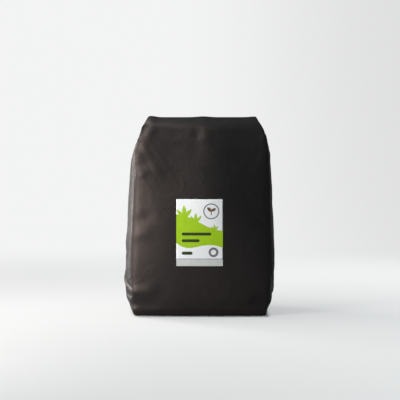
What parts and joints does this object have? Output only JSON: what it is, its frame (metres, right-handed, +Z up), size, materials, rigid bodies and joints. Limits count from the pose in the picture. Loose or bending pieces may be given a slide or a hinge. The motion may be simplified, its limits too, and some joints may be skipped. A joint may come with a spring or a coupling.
{
  "type": "compost bag",
  "caption": "Filled side-gusseted sack of black film, standing on its base with its top folded over to the back, and a printed paper label on its front.",
  "frame": {"origin": "on the floor, under the middle of the bag", "axes": "+Z up, the labelled front facing -Y, +X to the right as the front is seen"},
  "size_m": [0.3498, 0.2168, 0.4558],
  "materials": {
    "black_film": "satin",
    "label_paper": "satin",
    "green_ink": "satin",
    "grey_ink": "satin",
    "brown_ink": "satin",
    "dark_ink": "satin",
    "pale_ink": "satin"
  },
  "bodies": {
    "root": {"filled_sack": "black_film", "label_sheet": "label_paper", "label_green_field": "green_ink", "label_emblem_ring": "grey_ink", "label_emblem_sprout": "brown_ink", "label_title_bar": "dark_ink", "label_subtitle_bar": "dark_ink", "label_disc": "grey_ink", "label_amount_bar": "dark_ink", "label_foot_rule": "grey_ink", "label_foot_band": "pale_ink"}
  },
  "joints": []
}
